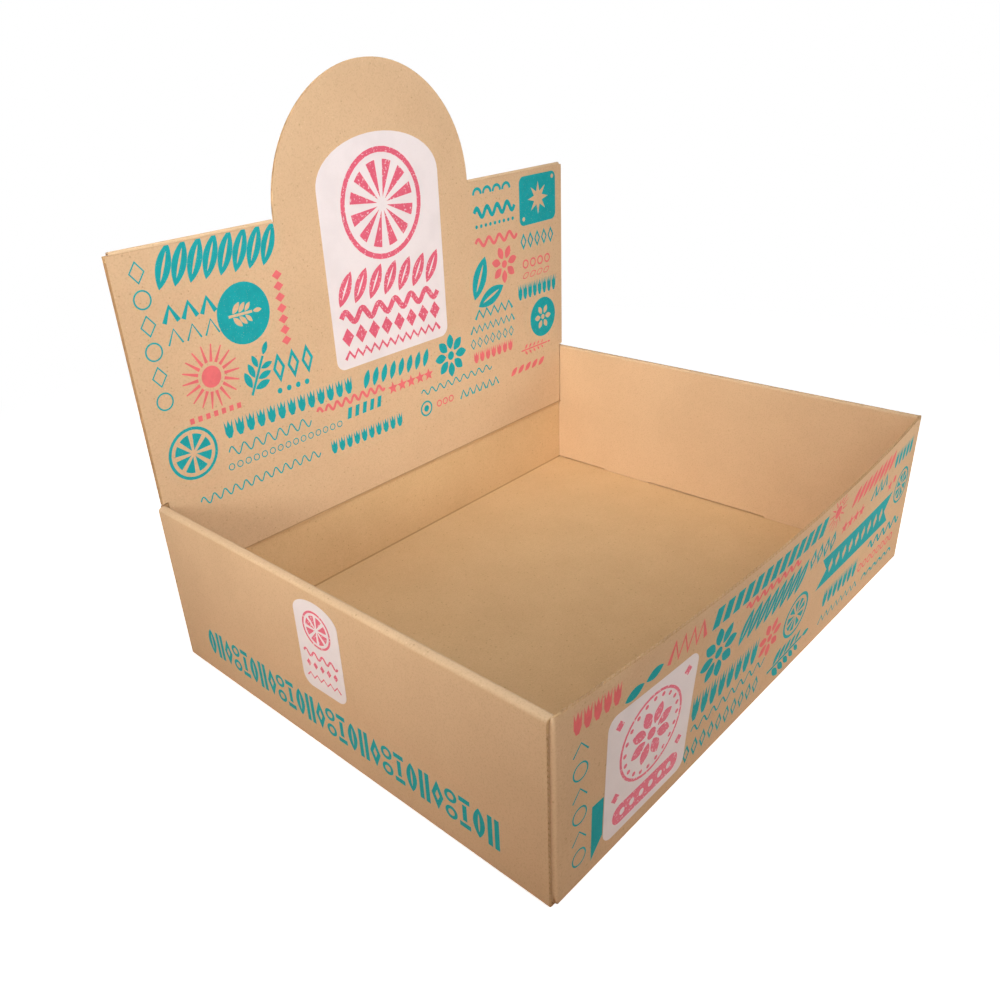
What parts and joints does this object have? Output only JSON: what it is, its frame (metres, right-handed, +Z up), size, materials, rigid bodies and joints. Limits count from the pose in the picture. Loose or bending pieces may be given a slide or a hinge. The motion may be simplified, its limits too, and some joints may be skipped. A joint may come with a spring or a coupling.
{
  "type": "counter display box",
  "caption": "Shallow kraft corrugated tray with rolled side walls and a lid folded back on itself as an upright arched header, with a tuck flap and printed labels.",
  "frame": {"origin": "under the middle of the outer size, on the surface the box stands on", "axes": "+X right along the header, +Y towards the back wall with the header, +Z up"},
  "size_m": [0.4002, 0.314, 0.3446],
  "materials": {
    "kraft_board": "uncoated kraft corrugated board with fine flecks, printed in matt teal and coral ink",
    "label_paper": "matt white paper label printed in pink"
  },
  "bodies": {
    "tray": {"tray": "kraft_board", "side_label": "label_paper", "front_label": "label_paper"},
    "lid_panel": {"lid_panel": "kraft_board"},
    "header_panel": {"header_panel": "kraft_board", "header_label": "label_paper"},
    "tuck_flap": {"tuck_flap": "kraft_board"}
  },
  "joints": [
    {"name": "lid_hinge", "type": "hinge", "parent": "tray", "child": "lid_panel", "pos_m": [0, 0.1554, 0.1095], "axis": [1, 0, 0], "range_deg": [0, 90]},
    {"name": "header_fold", "type": "hinge", "parent": "lid_panel", "child": "header_panel", "pos_m": [0, 0.15525, 0.2586], "axis": [-1, 0, 0], "range_deg": [0, 180]},
    {"name": "tuck_fold", "type": "hinge", "parent": "header_panel", "child": "tuck_flap", "pos_m": [0, 0.1551, 0.1105], "axis": [1, 0, 0], "range_deg": [0, 90]}
  ],
  "couplings": [
    {"joint": "header_fold", "follows": "lid_hinge", "ratio": 2},
    {"joint": "tuck_fold", "follows": "lid_hinge", "ratio": 1}
  ]
}
